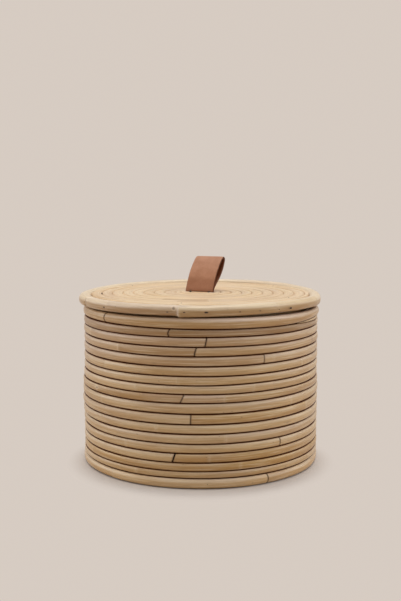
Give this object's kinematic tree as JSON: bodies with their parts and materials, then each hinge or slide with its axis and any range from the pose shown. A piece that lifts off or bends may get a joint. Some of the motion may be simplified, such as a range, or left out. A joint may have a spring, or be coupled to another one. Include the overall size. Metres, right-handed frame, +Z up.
{
  "type": "lidded storage basket",
  "caption": "Round lidded box of stacked rattan canes, with a coiled cane lid that lifts off by a leather loop.",
  "frame": {"origin": "middle of the underside of the foot hoop, on the surface that the box stands on", "axes": "+Z up through the middle of the lid; +X along the width of the leather pull; +Y the side that the pull leans to"},
  "size_m": [0.25, 0.2497, 0.2082],
  "materials": {
    "cane_wall": "clear-coated rattan cane, satin, tan with golden undersides",
    "cane_foot": "clear-coated rattan cane, satin, a little darker and redder",
    "cane_lid": "clear-coated rattan cane, satin, pale cream",
    "cane_rim": "thick clear-coated rattan cane, satin, cream tan",
    "cane_inside": "rattan cane, matt",
    "leather": "smooth tan leather with cut edges",
    "brad_steel": "dull wire brad"
  },
  "bodies": {
    "basket": {"foot_hoop": "cane_foot", "wall_hoop_01": "cane_wall", "wall_hoop_02": "cane_wall", "wall_hoop_03": "cane_wall", "wall_hoop_04": "cane_wall", "wall_hoop_05": "cane_wall", "wall_hoop_06": "cane_wall", "wall_hoop_07": "cane_wall", "wall_hoop_08": "cane_wall", "wall_hoop_09": "cane_wall", "wall_hoop_10": "cane_wall", "wall_hoop_11": "cane_wall", "wall_hoop_12": "cane_wall", "wall_hoop_13": "cane_wall", "wall_hoop_14": "cane_wall", "wall_hoop_15": "cane_wall", "wall_hoop_16": "cane_wall", "mouth_hoop": "cane_wall", "floor_coil": "cane_inside", "floor_brad_1": "brad_steel", "floor_brad_2": "brad_steel", "floor_brad_3": "brad_steel", "floor_brad_4": "brad_steel"},
    "lid": {"lid_rim_long": "cane_rim", "lid_rim_short": "cane_rim", "lid_coil": "cane_lid", "eye_ring": "cane_lid", "eye_core_front": "cane_lid", "eye_core_back": "cane_lid", "locating_hoop": "cane_inside", "lid_brad_1": "brad_steel", "lid_brad_2": "brad_steel", "lid_brad_3": "brad_steel", "lid_brad_4": "brad_steel", "lid_brad_5": "brad_steel", "lid_brad_6": "brad_steel", "rim_brad_1": "brad_steel", "rim_brad_2": "brad_steel", "rim_brad_3": "brad_steel", "rim_brad_4": "brad_steel", "rim_brad_5": "brad_steel", "rim_brad_6": "brad_steel", "rim_brad_7": "brad_steel", "rim_brad_8": "brad_steel", "rim_brad_9": "brad_steel", "rim_brad_10": "brad_steel", "rim_brad_11": "brad_steel", "rim_brad_12": "brad_steel", "strap_tail_front": "leather", "strap_tail_back": "leather", "strap_tack_1": "brad_steel", "strap_tack_2": "brad_steel", "strap_tack_3": "brad_steel", "strap_tack_4": "brad_steel"},
    "pull": {"pull_loop": "leather"}
  },
  "joints": [
    {"name": "lid_lift", "type": "slide", "parent": "basket", "child": "lid", "axis": [0, 0, 1], "range_m": [0, 0.2]},
    {"name": "pull_tilt", "type": "hinge", "parent": "lid", "child": "pull", "pos_m": [0, 0, 0.1748], "axis": [1, 0, 0], "range_deg": [-25, 95], "stiffness_Nm_per_rad": 0.02}
  ]
}
